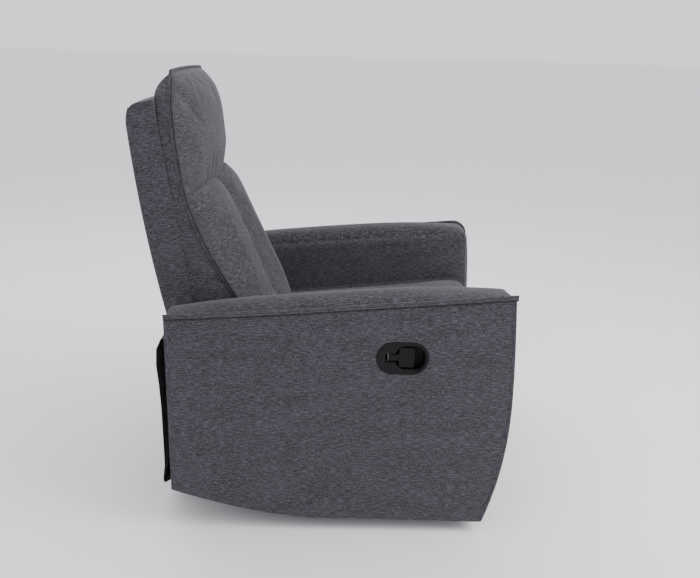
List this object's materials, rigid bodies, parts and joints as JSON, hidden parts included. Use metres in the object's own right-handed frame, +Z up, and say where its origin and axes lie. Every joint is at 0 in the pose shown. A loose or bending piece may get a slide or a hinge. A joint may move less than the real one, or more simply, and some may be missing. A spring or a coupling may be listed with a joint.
{
  "type": "recliner armchair",
  "caption": "Upholstered manual recliner armchair with crowned arms, a reclining back, a sliding seat and a fold-out footrest released by a recessed lever.",
  "frame": {"origin": "on the floor, at the middle of the bounding box's lower face", "axes": "+X to the chair's front, +Z up, the sitter's right side is -Y"},
  "size_m": [0.8697, 0.768, 1.0541],
  "materials": {
    "upholstery": "woven melange upholstery fabric with slub yarns, matt",
    "timber": "planed softwood and plywood, unfinished",
    "wadding": "polyurethane foam with fibre wadding",
    "black_plastic": "moulded, fine matt grain",
    "cable_sheath": "smooth cable sheath",
    "glide_plastic": "moulded, satin",
    "dust_cloth": "non-woven spun cloth, matt",
    "webbing": "elastic webbing, ribbed",
    "zinc_steel": "bright zinc plate",
    "black_steel": "black powder coat, satin"
  },
  "bodies": {
    "root": {"arm_frame_right": "timber", "arm_frame_left": "timber", "arm_cover_right": "upholstery", "arm_cover_left": "upholstery", "arm_top_pad_right": "wadding", "arm_top_pad_left": "wadding", "handle_cup": "black_plastic", "handle_pin": "zinc_steel", "handle_spring": "zinc_steel", "release_cable": "cable_sheath", "release_latch": "zinc_steel", "base_rail_right": "black_steel", "base_rail_left": "black_steel", "base_cross_tube_front": "black_steel", "base_cross_tube_rear": "black_steel", "floor_glides": "glide_plastic", "side_support_right": "black_steel", "side_support_left": "black_steel", "slide_rail_right": "zinc_steel", "slide_rail_left": "zinc_steel", "arm_brackets": "black_steel", "arm_bolts": "zinc_steel", "rear_rail": "timber", "rear_dust_cloth": "dust_cloth"},
    "handle": {"release_handle": "black_plastic"},
    "seat": {"seat_side_plate_right": "black_steel", "seat_side_plate_left": "black_steel", "seat_runner_right": "zinc_steel", "seat_runner_left": "zinc_steel", "seat_side_rail_right": "timber", "seat_side_rail_left": "timber", "seat_front_rail": "timber", "seat_rear_rail": "timber", "seat_springs": "zinc_steel", "seat_cushion": "upholstery", "back_hinge_pins": "zinc_steel"},
    "back": {"back_bracket_right": "black_steel", "back_bracket_left": "black_steel", "back_frame": "timber", "back_webbing": "webbing", "back_casing": "upholstery", "back_bolts": "zinc_steel", "head_cushion": "upholstery", "lumbar_cushion_right": "upholstery", "lumbar_cushion_left": "upholstery"},
    "lower_links": {"drive_tube": "black_steel", "lower_link_right": "black_steel", "lower_link_left": "black_steel", "lower_link_rivets": "zinc_steel"},
    "cross_links": {"cross_link_right": "black_steel", "cross_link_left": "black_steel", "cross_link_rivets": "zinc_steel"},
    "lift_links": {"lift_link_right": "black_steel", "lift_link_left": "black_steel", "lift_link_rivets": "zinc_steel"},
    "steady_links": {"steady_link_right": "black_steel", "steady_link_left": "black_steel"},
    "footrest": {"footrest_brackets": "black_steel", "footrest_board": "timber", "footrest_pad": "upholstery"}
  },
  "joints": [
    {"name": "seat_slide", "type": "slide", "parent": "root", "child": "seat", "axis": [1, 0, 0], "range_m": [0, 0.05]},
    {"name": "recline", "type": "hinge", "parent": "seat", "child": "back", "pos_m": [-0.21541, 0, 0.3], "axis": [0, -1, 0], "range_deg": [0, 38], "deforming": ["rear_dust_cloth"]},
    {"name": "footrest_open", "type": "hinge", "parent": "seat", "child": "lower_links", "pos_m": [0.273, 0, 0.27], "axis": [0, -1, 0], "range_deg": [0, 54]},
    {"name": "cross_pivot", "type": "hinge", "parent": "lower_links", "child": "cross_links", "pos_m": [0.30143, 0, 0.15599], "axis": [0, 1, 0], "range_deg": [0, 108]},
    {"name": "lift_pivot", "type": "hinge", "parent": "lower_links", "child": "lift_links", "pos_m": [0.32985, 0, 0.04198], "axis": [0, 1, 0], "range_deg": [0, 108]},
    {"name": "steady_pivot", "type": "hinge", "parent": "cross_links", "child": "steady_links", "pos_m": [0.29733, 0, 0.27342], "axis": [0, -1, 0], "range_deg": [0, 108]},
    {"name": "footrest_tilt", "type": "hinge", "parent": "lift_links", "child": "footrest", "pos_m": [0.32165, 0, 0.27684], "axis": [0, -1, 0], "range_deg": [0, 148.5]},
    {"name": "handle_pull", "type": "hinge", "parent": "root", "child": "handle", "pos_m": [0.153, -0.373, 0.451], "axis": [0, 0, -1], "range_deg": [0, 32], "stiffness_Nm_per_rad": 0.25, "springref_deg": -11.46}
  ],
  "couplings": [
    {"joint": "seat_slide", "follows": "recline", "m_per_rad": 0.07524},
    {"joint": "cross_pivot", "follows": "footrest_open", "ratio": 2},
    {"joint": "lift_pivot", "follows": "footrest_open", "ratio": 2},
    {"joint": "steady_pivot", "follows": "footrest_open", "ratio": 2},
    {"joint": "footrest_tilt", "follows": "footrest_open", "ratio": 2.75}
  ]
}
